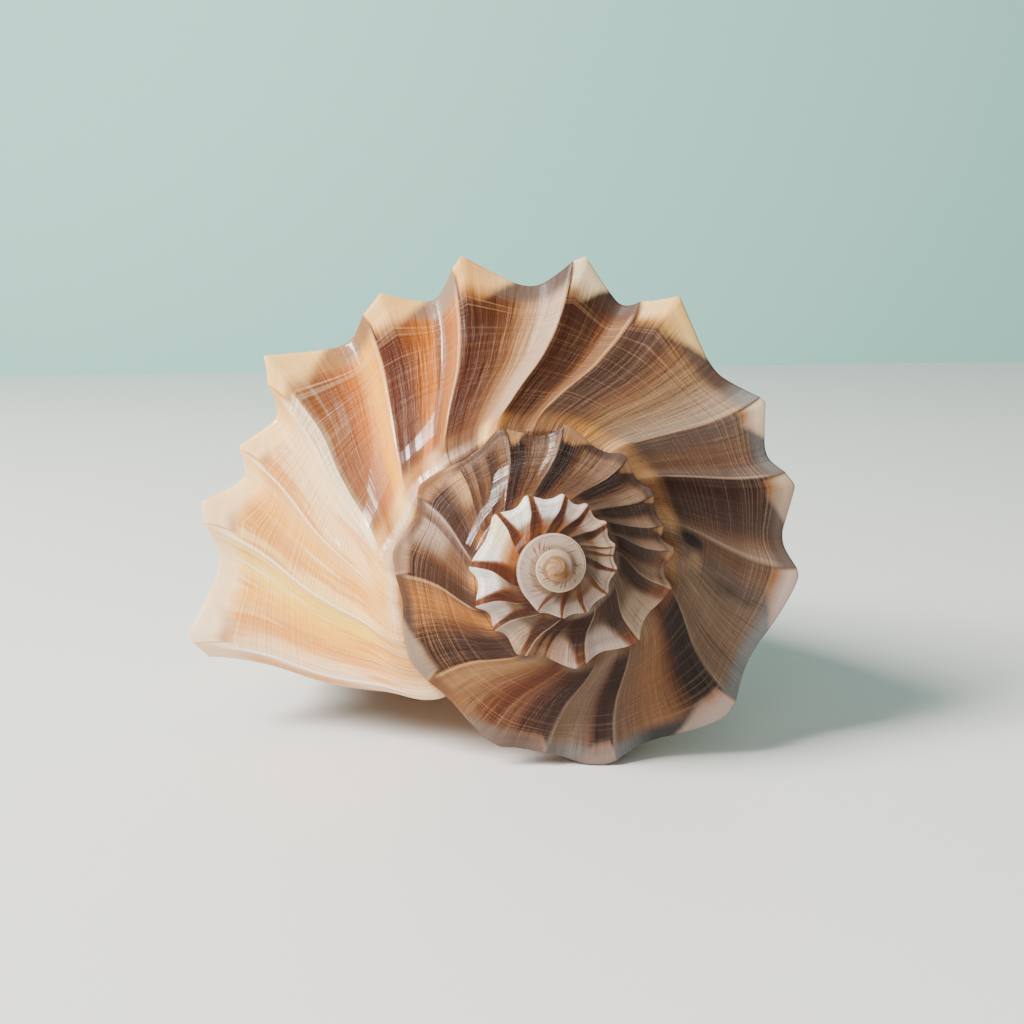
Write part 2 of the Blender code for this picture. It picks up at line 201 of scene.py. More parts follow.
SUTURE_SPIRE = (
    (371, UMBER), (381, MAHOGANY), (389, OCHRE), (398, BARK), (407, PEAT), (417, GINGER),
    (424, MAHOGANY), (440, BARK), (447, COFFEE), (459, WALNUT), (466, WALNUT), (472, COFFEE),
    (496, WALNUT), (504, CHESTNUT), (515, DRIFTWOOD), (524, CHESTNUT), (545, DRIFTWOOD), (645, TAUPE),
    (664, UMBER), (677, WALNUT), (695, UMBER), (710, UMBER), (727, BARK), (740, UMBER), (776, RUST),
    (860, BARK),
)
SUTURE_TOP = (
    (860, BARK), (900, TAUPE), (945, TAUPE), (985, HAZEL), (1001, MAHOGANY), (1040, HAZEL),
    (1200, PUTTY), (1764, OCHRE),
)
DEEP_LAST = (
    (0, GINGER), (70, MAHOGANY), (112, UMBER), (158, SMOKE), (177, COFFEE), (187, PEAT), (236, TAR),
    (293, COFFEE), (311, MAHOGANY), (339, COFFEE), (372, UMBER),
)
DEEP_SPIRE = (
    (372, UMBER), (429, UMBER), (448, COFFEE), (474, TAR), (600, PEAT), (631, COFFEE), (740, MAHOGANY),
    (782, MAHOGANY), (878, COFFEE), (902, CHESTNUT), (920, UMBER), (950, BARK), (1004, MAHOGANY),
    (1066, BARK), (1200, GINGER),
)
# Partly painted shade: between about 150 and 270 degrees back, on the side away from the light, the margin's
# own grey is painted near black
MARGIN_AND_SHADE_LAST = (
    (0, BISCUIT), (42, STRAW), (50, OCHRE), (63, HAZEL), (70, WALNUT), (84, TAUPE), (106, PEAT),
    (140, SMOKE), (149, PEAT), (155, SLATE), (190, SMOKE), (210, SLATE), (229, SLATE), (247, INK),
    (256, INK), (267, SLATE), (305, SMOKE), (322, WALNUT), (357, PEAT), (374, BARK), (484, PEAT),
)
# Partly painted shade: from about 200 to 340 degrees back, on the side away from the light, the tips are
# painted darker than their own cream
TIP_AND_SHADE_LAST = (
    (0, BISCUIT), (45, STRAW), (90, HONEY), (112, CREAM), (131, STRAW), (159, BISCUIT), (178, PUTTY),
    (203, DOVE), (297, SMOKE), (341, TAUPE), (408, WALNUT), (444, CARAMEL), (493, HAZEL),
)
PALE_LINES = (
    (0, CHALK), (50, CREAM), (70, PEACH), (140, TAN), (166, PUTTY), (230, TAUPE), (290, TAUPE),
    (330, TAN), (365, TAN), (400, DOVE), (450, TAUPE), (520, DRIFTWOOD), (740, CREAM), (1000, DOVE),
)

# The colours of single layers
FRINGE_LAST = (126, 66, 16)
FRINGE_SPIRE = (104, 50, 10)
FRINGE_EARLY = (160, 78, 8)
STREAK_SHOULDER = (104, 54, 18)
# Painted shade for the crease along the seam where the turns meet
SEAM_SHADE = (44, 24, 12)
FOLD = (252, 216, 188)
LIP_GOLD = (212, 128, 30)
LIP_TAN = (222, 168, 104)
TIP_RUST = (150, 88, 32)
BREAK_DARK = (38, 28, 26)
BREAK_PALE = (162, 126, 90)
FRECKLE = (140, 66, 12)
BODY_CREAM = (232, 192, 150)
BODY_WARM = (180, 112, 66)
BODY_STREAK = (112, 56, 18)
BODY_THREAD = (150, 86, 46)
BODY_PALE_THREAD = (240, 218, 180)
BODY_LINE = (118, 76, 44)
BODY_LIP = (240, 214, 176)
INSIDE_TOP = (214, 140, 84)
INSIDE_MIDDLE = (232, 182, 134)
INSIDE_END = (214, 160, 112)
INSIDE_EDGE = (240, 220, 190)
FLOOR_GREY = (226, 224, 222)
WALL_GREEN = (152, 203, 194)

# Where the growth changes its looks, in turns back from the lip: between two values, or up and down again
LIP_TURNS = (0.115, 0.140)
SPIRE_TURNS = (1.44, 1.60)
EARLY_TURNS = (1.90, 2.02)
# Where the painted shade along the seam lies
SEAM_SHADE_TURNS = ((0.00, 0.04), (2.9, 3.2))
FOLD_TURNS = ((0.04, 0.09), (0.23, 0.29))
RIBBED_TURNS = ((0.95, 1.02), (1.26, 1.40))
FRECKLED_TURNS = ((2.85, 2.95), (4.0, 4.2))
WET_LIP_TURNS = ((0.03, 0.06), (0.22, 0.31))
WET_SPIRE_TURNS = ((1.06, 1.11), (1.27, 1.31))

# Relief in metres, and how the surface shines
BUMP_DEPTH = 0.0011
SPECULAR = 0.2
COAT_ROUGHNESS = 0.06

# The stage in metres: two large squares, the floor a hair under the shell
STAGE_SIZE = 6.0
BACKDROP_AT = 0.76
BACKDROP_SUNK = 0.1
FLOOR_GAP = 0.0002

# The lights: name, place, what each aims at, width and height, watts and colour
SHELL_MIDDLE = (0.0, 0.0, 0.03)
LAMPS = (
    ("window", (-0.62, -0.30, 0.62), SHELL_MIDDLE, (0.40, 0.50), 25.6, (1.0, 0.95, 0.88)),
    ("front", (-0.10, -0.90, 0.50), SHELL_MIDDLE, (0.6, 0.6), 1.9, (1.0, 0.98, 0.95)),
    ("wash", (-0.9, -0.3, 0.9), (0.2, BACKDROP_AT, 0.25), (0.6, 0.6), 10.0, (0.96, 1.0, 1.0)),
)
ROOM_COLOUR = (0.84, 0.87, 0.90, 1.0)
ROOM_LIGHT = 0.30

# The camera looks along the shell's axis, as in the photograph; the apex's place in view is in millimetres
LENS = 49.22
SENSOR = 36.0
CLIP_START = 0.01
APEX_IN_VIEW = (5.946, 7.4, 185.0)
VIEW_DOWN_AXIS = (0.020, 0.009, 1.0)


def smooth(x):
    x = np.clip(x, 0.0, 1.0)
    return x * x * (3.0 - 2.0 * x)


def mix(a, b, share):
    return a + (b - a) * share


def shoulder_radius(back):
    turns = back / TURN
    knee = (GROWTH_AT_LIP - GROWTH_LEAST) / GROWTH_DROP
    near = np.minimum(turns, knee)
    fallen = GROWTH_AT_LIP * near - 0.5 * GROWTH_DROP * near * near
    return LIP_SHOULDER_R * np.exp(-fallen - GROWTH_LEAST * np.maximum(0.0, turns - knee))


def lean(back, station):
    """How far a growth line runs ahead of its shoulder point, in degrees."""
    if station < SHOULDER:
        at_suture = mix(LEAN_AT_LIP, LEAN_BEHIND, smooth((back - 45.0) / 40.0))
        sway = np.interp(back, *zip(*SWAYS)) * float(smooth((0.6 - station) / 0.45))
        return at_suture * (1.0 - station) ** 1.5 + sway
    if station > UNDER:
        return LIP_BULGE * math.sin(math.pi * min(1.0, 1.25 * (station - UNDER))) ** 2 + 0.0 * back
    return 0.0 * back


def core_radius(around, depth):
    return mix(CANAL_R, PILLAR_R, smooth(around / 330.0)) * mix(1.0, 0.8, smooth((depth - 95.0) / 67.0))


def body_radius(around, depth):
    r = shoulder_radius(around)
    below = depth - SPIRE_SLOPE * r
    x = np.clip(below / (BODY_LENGTH * (r / LIP_SHOULDER_R) ** BODY_SHRINK), 0.0, 1.0)
    core = np.minimum(core_radius(around, depth), 0.6 * r)
    waist = 0.05 * r * smooth(below / (0.1 * r)) * np.maximum(0.0, 1.0 - 1.6 * x)
    return core + (r - core) * (1.0 - x * x) ** BODY_TAPER - waist


def canal_end(around):
    return CANAL_END - CANAL_LOSS * smooth(around / 320.0) - CANAL_NOTCH * (1.0 - smooth(around / 70.0))


def side_depth(around, station, bottom):
    r = shoulder_radius(around)
    top = SPIRE_SLOPE * r
    seam = top + SEAM_DROP * r
    under = seam + SEAM_WALL * np.clip(r / 15.0, 0.3, 1.0)
    if station <= SEAM:
        return mix(top, seam, station - SHOULDER)
    if station <= UNDER:
        return mix(seam, under, station - SEAM)
    return mix(under, bottom, station - UNDER)


def base_point(around, station, bottom):
    """Radius and depth of the shell's outside before ribs and spines."""
    if station >= SHOULDER:
        depth = side_depth(around, station, bottom)
        return body_radius(around, depth), depth
    z0 = side_depth(around + TURN, SEAM, bottom)
    r0 = body_radius(around + TURN, z0)
    z1 = side_depth(around, SHOULDER, bottom)
    r1 = body_radius(around, z1)
    run = np.hypot(r1 - r0, z1 - z0)
    hollow = -0.045 * run * math.sin(math.pi * station) ** 1.3
    swell = mix(0.055, 0.03, smooth((around - 90.0) / 60.0))
    roll = swell * run * float(smooth(station / 0.06) * (1.0 - smooth((station - 0.09) / 0.22)))
    lift = (hollow + roll) / run
    return mix(r0, r1, station) + lift * (z1 - z0), mix(z0, z1, station) - lift * (r1 - r0)


def knob_sums(back):
    """Outward points, and ribs steep on the side of growth, as two sums over the spines."""
    points = 0.0 * back
    ribs = 0.0 * back
    for i, (at, length, crest) in enumerate(SPINES):
        to_next = SPINES[i + 1][0] - at if i + 1 < len(SPINES) else PLAIN_SPACING
        to_last = at - SPINES[i - 1][0] if i else FIRST_SPACING
        worn = float(smooth((at - 140.0) / 80.0))
        away = back - at
        share_next = away / to_next / mix(0.62, 0.75, worn)
        share_last = -away / to_last / mix(0.62, 0.5, worn)
        q = np.where(away > 0.0, share_next, share_last)
        q = np.sqrt(q * q + (0.08 * worn) ** 2) - 0.08 * worn
        points = points + length * np.maximum(0.0, 1.0 - q) ** mix(1.7, 1.35, worn)
        to_next = SPINES[i + 1][2] - crest if i + 1 < len(SPINES) else PLAIN_SPACING
        to_last = crest - SPINES[i - 1][2] if i else FIRST_SPACING
        away = back - crest
        q = np.where(away > 0.0, away / to_next / 0.8, -away / to_last / RIB_FRONT)
        height = 0.35 * length + 0.5 * float(shoulder_radius(crest)) / LIP_SHOULDER_R
        ribs = ribs + height * np.maximum(0.0, 1.0 - q) ** 1.6
    return points, ribs


def side_share(back, station):
    """How much of a spine's length is left on the side wall below it."""
    return max(0.0, 1.0 - (station - SHOULDER) / 1.8) ** mix(1.5, 0.8, smooth((back - 300.0) / 80.0))


def outside(back, station, bottom=None):
    """Angle back from the lip, radius and depth of points of the outer surface."""
    around = back - lean(back, station)
    if bottom is None:
        bottom = canal_end(around)
    radius, depth = base_point(around, station, bottom)
    points, ribs = knob_sums(back)
    if station <= SHOULDER:
        points = points * float(smooth((station - 0.66) / 0.34)) ** 1.5
        ribs = ribs * mix(0.35, 1.0, station) * float(smooth(station / 0.12))
        under, _ = knob_sums(around + TURN)
        radius = radius + side_share(around + TURN, SEAM) * under * (1.0 - min(1.0, station / 0.5)) ** 2
    else:
        points = points * side_share(back, station)
        ribs = ribs * max(0.0, 1.0 - (station - SHOULDER) / 0.7)
    return around, radius + points + 0.375 * ribs, depth - 0.15 * points - ribs


def seam_back(back):
    return back + TURN - lean(back, 0.0)


def cavity_bottom(back):
    r = shoulder_radius(back)
    climbed = SPIRE_SLOPE * r + 0.9 * BODY_LENGTH * (r / LIP_SHOULDER_R) ** BODY_SHRINK
    return mix(canal_end(back), climbed, smooth((back - CANAL_SHUTS) / 110.0))


def lining(back, station):
    """The cavity's outer wall: the outside without its spines, moved in by the wall's thickness."""
    around = back - lean(back, station)
    bottom = cavity_bottom(back)
    wall = mix(WALL_AT_LIP, WALL, smooth(back / 30.0))
    r_a, z_a = base_point(around, max(0.0, station - 0.04), bottom)
    r_b, z_b = base_point(around, min(END, station + 0.04), bottom)
    r, z = base_point(around, station, bottom)
    run = np.hypot(r_b - r_a, z_b - z_a)
    radius = r - wall * (z_b - z_a) / run
    depth = z + wall * (r_b - r_a) / run
    if station > UNDER:
        depth = np.minimum(depth, bottom)
        depth = mix(depth, z, float(smooth((station - 3.6) / 0.4)))
    else:
        z_under = side_depth(around + TURN, UNDER, bottom)
        share = float(smooth(station / 0.12))
        radius = mix(body_radius(around + TURN, z_under), radius, share)
        depth = mix(z_under, depth, share)
    if station > 0.0:
        radius = np.maximum(radius, body_radius(around + TURN, depth) + LEAST_GAP)
    return around, radius, depth


def pillar_wall(back, station):
    """The cavity's inner wall: the outside of the turn before."""
    share = (station - UNDER) / (END - UNDER)
    around = back + TURN - lean(back, 0.0) * (1.0 - share) ** 2
    bottom = np.where(back < CANAL_SHUTS, canal_end(around), cavity_bottom(back))
    depth = side_depth(around, station, bottom)
    return around, body_radius(around, depth), depth


class Skin:
    """Points and faces of one closed surface. Each face corner keeps its growth angle, station and part."""

    def __init__(self):
        self.points = []
        self.faces = []
        self.corners = []

    def row(self, backs, station, placed, part=OUTSIDE):
        around, radius, depth = placed
        azimuth = np.radians(LIP_AZIMUTH - around)
        first = len(self.points)
        xyz = np.stack([radius * np.cos(azimuth), radius * np.sin(azimuth), -depth], axis=1)
        self.points.extend(map(tuple, xyz))
        return [(float(back), first + i, (float(back), station, part)) for i, back in enumerate(backs)]

    def zip(self, one, other):
        """Faces between two rows whose points need not pair up."""
        i = j = 0
        while i < len(one) - 1 or j < len(other) - 1:
            to_i = one[i + 1][0] if i < len(one) - 1 else math.inf
            to_j = other[j + 1][0] if j < len(other) - 1 else math.inf
            face = [one[i]]
            if to_i <= to_j + 1e-6:
                i += 1
                face.append(one[i])
            if to_j <= to_i + 1e-6:
                face += [other[j + 1], other[j]]
                j += 1
            else:
                face.append(other[j])
            face = [corner for n, corner in enumerate(face) if corner[1] != face[n - 1][1]]
            if len(face) > 2:
                self.add(face)

    def add(self, face):
        self.faces.append([corner[1] for corner in face])
        self.corners.extend(corner[2] for corner in face)

    def fan(self, loop, centre):
        self.points.append(centre)
        hub = (0.0, len(self.points) - 1, loop[0][2])
        for a, b in zip(loop, loop[1:] + loop[:1]):
            self.add([a, b, hub])


def growth_columns():
    """Angles of the growth lines that the skin is built on, one of them on every tip and rib."""
    stops = [0.0]
    for at, _, crest in SPINES:
        for stop in sorted((at, crest)):
            if stop - stops[-1] > LEAST_STEP:
                stops.append(stop)
    stops.append(TURNS_BACK * TURN)
    columns = [0.0]
    for start, end in zip(stops, stops[1:]):
        step = [s for begin, s in COLUMN_STEPS if start >= begin][-1]
        count = max(1, round((end - start) / step))
        columns.extend(start + (end - start) * n / count for n in range(1, count + 1))
    return np.array(columns)


def crowded(first, last, count, ends):
    """Evenly numbered stations, crowded towards both ends by a share."""
    t = np.arange(count + 1) / count
    t = t - ends * np.sin(2.0 * math.pi * t) / (2.0 * math.pi)
    return tuple(float(x) for x in first + (last - first) * t)


def relabel(row, keys, station, part):
    """The same points under other keys, as the next part of the skin sees them."""
    return [(float(key), entry[1], (float(key), station, part)) for key, entry in zip(keys, row)]


def build_skin():
    skin = Skin()
    columns = growth_columns()
    last = columns[-1]
    steps = round(CAVITY_DEPTH / CAVITY_STEP)
    inner = CAVITY_DEPTH * np.arange(steps + 1) / steps
    mouth = float(seam_back(np.array(0.0)))
    ramp_rows = crowded(0.0, SHOULDER, RAMP_COUNT, 0.5)
    side_rows = crowded(SHOULDER, SEAM, SIDE_COUNT, 0.0)[1:]
    body_rows = crowded(UNDER, END, BODY_COUNT, 0.0)

    # The outer turns, whose suture runs along the seam of the turn after
    suture = skin.row(columns, 0.0, outside(seam_back(columns), SEAM))
    under_suture = relabel(suture, seam_back(columns), SEAM, OUTSIDE)
    own = columns[columns < mouth - LEAST_STEP]
    rows = [suture]
    for station in ramp_rows[1:] + side_rows[:-1]:
        rows.append(skin.row(columns, station, outside(columns, station)))
    kept = [entry for entry in under_suture if entry[0] <= last + 1e-6]
    seam = skin.row(own, SEAM, outside(own, SEAM)) + kept
    rows.append(seam)
    for upper, lower in zip(rows, rows[1:]):
        skin.zip(upper, lower)

    # The bulb at the apex
    rim = under_suture[len(kept):]
    loop = [seam[-1]] + rim + [row[-1] for row in rows[1:-1]]
    top = np.array([skin.points[entry[1]] for entry in loop])
    centre = top.mean(axis=0)
    skin.fan(loop, (centre[0], centre[1], top[:, 2].max() + BULB_HEIGHT))

    # The body's wall and, inside the cavity, the turn before it as a pillar
    walls = []
    body_columns = columns[: np.searchsorted(columns, TURN + 20.0)]
    crests = {round(crest, 6) for _, _, crest in SPINES}
    thin = np.array([c for n, c in enumerate(body_columns) if n % 2 == 0 or round(float(c), 6) in crests])
    for station in body_rows:
        placed = pillar_wall(inner, station)
        pick = body_columns if station == UNDER else thin
        keep = pick[pick - lean(pick, station) < placed[0][0] - LEAST_STEP]
        out = skin.row(keep, station, outside(keep, station))
        facing = skin.row(inner + PILLAR_KEYS, station, placed, PILLAR)
        facing = [(key, index, (key - PILLAR_KEYS + TURN, station, PILLAR)) for key, index, _ in facing]
        walls.append((out, facing))
    last_of_band = (PILLAR_KEYS, suture[0][1], (mouth, SEAM, OUTSIDE))
    skin.zip(seam[: len(own)] + [last_of_band], walls[0][0] + walls[0][1][:1])
    for upper, lower in zip(walls, walls[1:]):
        skin.zip(upper[0] + upper[1], lower[0] + lower[1])

    # The cavity's outer wall
    ceiling = relabel(walls[0][1], inner, 0.0, LINING)
    floor = relabel(walls[-1][1], inner, END, LINING)
    lined = [ceiling]
    stations = LINING_ROWS + body_rows
    for station in stations[1:-1]:
        lined.append(skin.row(inner, station, lining(inner, station), LINING))
    open_end = inner[inner < CANAL_SHUTS]
    canal = skin.row(open_end, END, lining(open_end, END), LINING)
    shut = len(open_end)
    lined.append(canal + floor[shut:])
    for upper, lower in zip(lined, lined[1:]):
        skin.zip(upper, lower)

    # The lip's edge
    lip_out = [(0.0, suture[0][1], (0.0, 0.0, LINING))]
    for station, row in zip(ramp_rows[1:] + side_rows + body_rows, rows[1:] + [pair[0] for pair in walls]):
        lip_out.append((station, row[0][1], (0.0, station, LINING)))
    lip_in = [(station, row[0][1], (0.0, station, LINING)) for station, row in zip(stations, lined)]
    skin.zip(lip_out, lip_in)

    # The end of the cavity
    deep_out = [(station, row[-1][1], row[-1][2]) for station, row in zip(stations, lined)]
    deep_in = [(station, pair[1][-1][1], pair[1][-1][2]) for station, pair in zip(body_rows, walls)]
    skin.zip([(0.0, *deep_in[0][1:])] + deep_in[1:], deep_out)

    # The canal's rim and the pillar's end
    end_out = walls[-1][0]
    ring = [entry for entry in end_out if entry[0] <= floor[shut][0]]
    skin.zip(ring, canal + [floor[shut]])
    core = end_out[len(ring) - 1:] + floor[: shut + 1]
    core_z = np.mean([skin.points[entry[1]][2] for entry in core])
    skin.fan(core, (0.0, 0.0, core_z - CORE_TIP))
    return skin


def lie_down(points):
    """From the shell's own axis to the way it lies, in metres."""
    dip = math.radians(90.0 - AXIS_DIP)
    roll = math.radians(AXIS_ROLL)
    x, y, z = points.T
    x, y = x * math.cos(roll) - y * math.sin(roll), x * math.sin(roll) + y * math.cos(roll)
    laid = np.stack([x, y * math.cos(dip) - z * math.sin(dip), y * math.sin(dip) + z * math.cos(dip)], axis=1)
    return (laid - np.array(REST)) * MM


def painted(back, station, middle):
    """How dark each place is and how near to a spine's tip, and the old break, by growth line and station."""
    dark = 0.0 * back
    up = np.clip(1.0 - station, 0.0, 1.0)
    below = smooth((station - 1.2) / 2.4)
    for start, width, depth in STREAKS:
        sharp = float(smooth((start - 560.0) / 150.0))
        wedge = mix(1.0 + 0.25 * up, 0.42 + 2.6 * up ** 1.3, smooth((start - 500.0) / 120.0))
        share = (back - start) / (width * wedge)
        fall = 1.0 - smooth((share - mix(0.12, 0.3, sharp)) / mix(1.25, 0.85, sharp))
        onset = smooth(share / 0.06 + 0.6) * (share > -0.001) * (middle > start - 0.01)
        dark = np.maximum(dark, depth * fall * onset * (1.0 - 0.5 * below))
    tip = 0.0 * back
    for i, (at, _, crest) in enumerate(SPINES):
        to_next = SPINES[i + 1][2] - crest if i + 1 < len(SPINES) else PLAIN_SPACING
        reach = at - crest + 0.50 * to_next
        share = (back - crest) / reach
        hill = smooth(share / 0.12 + 0.3) * (1.0 - smooth((share - 0.3) / 0.7))
        tip = np.maximum(tip, hill * (share > -0.001) * (middle > crest - 0.01))
    mark = 0.0 * back
    for (at, height), (wide, tall), depth in BREAK_MARKS:
        spread = np.hypot((back - at) / wide, (station - height) / tall)
        mark = mark + depth * (1.0 - smooth((spread - 0.35) / 0.65))
    return np.stack([dark, tip, mark], axis=1)


def kept_values(skin):
    """What the colours read at each face corner: three values each for growth, rib and paint."""
    back, station, part = np.array(skin.corners).T
    sizes = np.array([len(face) for face in skin.faces])
    owner = np.repeat(np.arange(len(sizes)), sizes)
    middle = np.bincount(owner, back) / sizes
    crests = np.array([crest for _, _, crest in SPINES])
    rib = np.searchsorted(crests, middle, side="right") - 1
    start = np.where(rib < 0, crests[0] - FIRST_SPACING, crests[np.maximum(rib, 0)])
    following = crests[np.minimum(rib + 1, len(crests) - 1)]
    end = np.where(rib + 1 < len(crests), following, crests[-1] + PLAIN_SPACING)
    behind = np.clip((back - start[owner]) / (end - start)[owner], 0.0, 1.0)
    seed = (rib[owner] + 1) * 0.37 % 1.0
    return {
        "growth": np.stack([back / TURN, station, part], axis=1),
        "rib": np.stack([behind, seed, 0.0 * seed], axis=1),
        "paint": painted(back, station, middle[owner]),
    }


def turn_outward(shell):
    """Makes all the faces look outward."""
    bpy.ops.object.select_all(action="DESELECT")
    bpy.context.view_layer.objects.active = shell
    shell.select_set(True)
    bpy.ops.object.mode_set(mode="EDIT")
    bpy.ops.mesh.select_all(action="SELECT")
    bpy.ops.mesh.normals_make_consistent(inside=False)
    bpy.ops.object.mode_set(mode="OBJECT")
    bpy.ops.object.select_all(action="DESELECT")


def make_shell():
    skin = build_skin()
    points = lie_down(np.array(skin.points))
    points[:, 2] = np.maximum(points[:, 2], 0.0)
    mesh = bpy.data.meshes.new("shell_skin")
    mesh.from_pydata([tuple(p) for p in points], [], skin.faces)
    for name, values in kept_values(skin).items():
        attribute = mesh.attributes.new(name, "FLOAT_VECTOR", "CORNER")
        attribute.data.foreach_set("vector", values.astype(np.float32).ravel())
    mesh.shade_smooth()
    shell = bpy.data.objects.new("shell_skin", mesh)
    bpy.context.scene.collection.objects.link(shell)
    turn_outward(shell)
    return shell


def tint(shade):
    """A colour as the eye reads it, 0 to 255, as the linear values that a shader takes."""
    linear = [(c / 255.0 / 12.92) if c <= 10 else ((c / 255.0 + 0.055) / 1.055) ** 2.4 for c in shade]
    return (*linear, 1.0)


class Signal:
    """A shader socket that can stand in an expression on values."""

    def __init__(self, glaze, socket):
        self.glaze = glaze
        self.socket = socket

    def math(self, operation, *others):
        values = {0: self, **{n + 1: other for n, other in enumerate(others)}}
        return self.glaze.add("ShaderNodeMath", {"operation": operation}, values)

    def __add__(self, other):
        return self.math("ADD", other)

    __radd__ = __add__

    def __sub__(self, other):
        return self.math("SUBTRACT", other)

    def __rsub__(self, other):
        return self.glaze.add("ShaderNodeMath", {"operation": "SUBTRACT"}, {0: other, 1: self})

    def __mul__(self, other):
        return self.math("MULTIPLY", other)

    def __truediv__(self, other):
        return self.math("DIVIDE", other)

    def step(self, low, high):
        """0 below low, 1 above high, and a smooth step between."""
        return self.glaze.add(
            "ShaderNodeMapRange",
            {"interpolation_type": "SMOOTHSTEP"},
            {"Value": self, "From Min": low, "From Max": high},
        )

    def between(self, rise, fall):
        """1 between two smooth steps, one up and one down."""
        return self.step(*rise) * (1.0 - self.step(*fall))

    def swing(self, size):
        """How far a noise is above or below its middle, times a size."""
        return (self - 0.5) * size

    def ridge(self, middle, half):
        """1 at the middle, falling evenly to 0 at half a width from it."""
        return (1.0 - (self - middle).math("ABSOLUTE") / half).clamp()

    def clamp(self):
        return self.math("MAXIMUM", 0.0).math("MINIMUM", 1.0)


class Glaze:
    """A material under construction."""

    def __init__(self, name):
        self.material = bpy.data.materials.new(name)
        self.material.use_nodes = True
        self.tree = self.material.node_tree
        self.tree.nodes.clear()

    def add(self, kind, settings, values, output=0):
        """Adds one node: its settings are set first, then its sockets get values or links."""
        node = self.tree.nodes.new(kind)
        for key, value in settings.items():
            setattr(node, key, value)
        for key, value in values.items():
            if isinstance(value, Signal):
                self.tree.links.new(value.socket, node.inputs[key])
            else:
                node.inputs[key].default_value = value
        return Signal(self, node.outputs[output]) if node.outputs else None

    def blend(self, under, over, share):
        """Lays one colour over another."""
        return self.add("ShaderNodeMix", {"data_type": "RGBA"}, {0: share, 6: under, 7: over}, 2)

    def ramp(self, value, stops):
        """A colour that changes with a value, through stops of place and colour."""
        colour = self.add("ShaderNodeValToRGB", {}, {"Fac": value})
        elements = colour.socket.node.color_ramp.elements
        while len(elements) < len(stops):
            elements.new(0.5)
        for element, (place, shade) in zip(elements, stops):
            element.position = place
            element.color = shade
        return colour

    def vector(self, x, y, z):
        return self.add("ShaderNodeCombineXYZ", {}, {0: x, 1: y, 2: z})

    def noise(self, where, scale, detail, rough=0.5):
        values = {"Vector": where, "Scale": scale, "Detail": detail, "Roughness": rough}
        return self.add("ShaderNodeTexNoise", {}, values)

    def stored(self, name):
        """The three values that the mesh keeps under a name."""
        whole = self.add("ShaderNodeAttribute", {"attribute_name": name}, {}, "Vector")
        return [self.add("ShaderNodeSeparateXYZ", {}, {0: whole}, n) for n in range(3)]

    def finish(self, values):
        """The shader itself, from the values and links of its sockets."""
        shader = self.add("ShaderNodeBsdfPrincipled", {}, values)
        self.add("ShaderNodeOutputMaterial", {}, {"Surface": shader})
        return self.material


def by_growth(g, *lists):
    """A colour that changes with growth, through lists of stops that follow one another."""
    colour = None
    for stops in lists:
        first, last = stops[0][0], stops[-1][0]
        span = [((at - first) / (last - first), tint(shade)) for at, shade in stops]
        part = g.ramp((g.back - first) / (last - first), span)
        colour = part if colour is None else g.blend(colour, part, g.back.math("GREATER_THAN", first))
    return colour


class ShellGlaze(Glaze):
    """The shell's material, with the signals that its layers are worked out from."""

    def __init__(self):
        super().__init__("shell_glaze")
        self.turns, self.station, part = self.stored("growth")
        self.behind, self.seed, _ = self.stored("rib")
        self.dark, self.tip, self.mark = self.stored("paint")
        self.outer = 1.0 - part.step(0.2, 0.8)
        self.side = self.station.step(1.0, 1.25)
        self.early = self.turns.step(*EARLY_TURNS)
        self.spire = self.turns.step(*SPIRE_TURNS)
        self.lip = 1.0 - self.turns.step(*LIP_TURNS)
        self.add_noises()
        self.add_places()

    def grain(self, per_turn, per_station, layer, detail, rough=0.5):
        """A noise with so many grains in a turn and in a station."""
        where = self.vector(self.turns * per_turn, self.station * per_station, layer)
        return self.noise(where, 1.0, detail, rough)

    def add_noises(self):
        self.cloudy = self.noise(self.add("ShaderNodeTexCoord", {}, {}, "Object"), 60.0, 3.0)
        self.patches = self.grain(14.0, 5.0, 5.0, 2.0)
        self.growth_lines = self.grain(260.0, 1.6, self.seed, 4.0, 0.65)
        self.broad_lines = self.grain(75.0, 1.2, 3.0, 3.0, 0.55)
        self.threads = self.grain(2.5, 70.0, 7.0, 3.0, 0.65)
        self.fine_threads = self.grain(6.0, 110.0, 11.0, 2.0)

    def add_places(self):
        """Where streaks, suture band, marked threads, margin and tips lie, and the colours they share."""
        self.back = self.turns * TURN + self.patches.swing(2.5)
        self.deep = by_growth(self, DEEP_LAST, DEEP_SPIRE)
        self.pale = by_growth(self, PALE_LINES)

        streak = self.dark * (0.85 + self.growth_lines.swing(0.5) + self.patches.swing(0.35))
        ragged = (self.broad_lines - 0.5) * (0.16 + self.early * 0.1)
        self.amount = (streak + ragged + self.threads.swing(0.10)) * (1.0 - self.lip)

        band = (0.12 + self.early * 0.12, 0.25 + self.early * 0.22)
        self.by_suture = 1.0 - (self.station + self.cloudy.swing(0.08)).step(*band)

        uneven = self.station + self.cloudy.swing(0.012)
        self.marked = uneven.ridge(0.846, 0.007) + uneven.ridge(0.758, 0.006) * 0.8
        self.margin = (self.station + self.cloudy.swing(0.04) + self.threads.swing(0.02)).step(0.86, 0.94)
        near_tip = ((self.station - 1.0 + self.tip * 0.16 + self.cloudy.swing(0.03)) / 0.09).clamp()
        self.at_tip = near_tip * self.tip.step(0.02, 0.3) * (1.0 - self.spire)


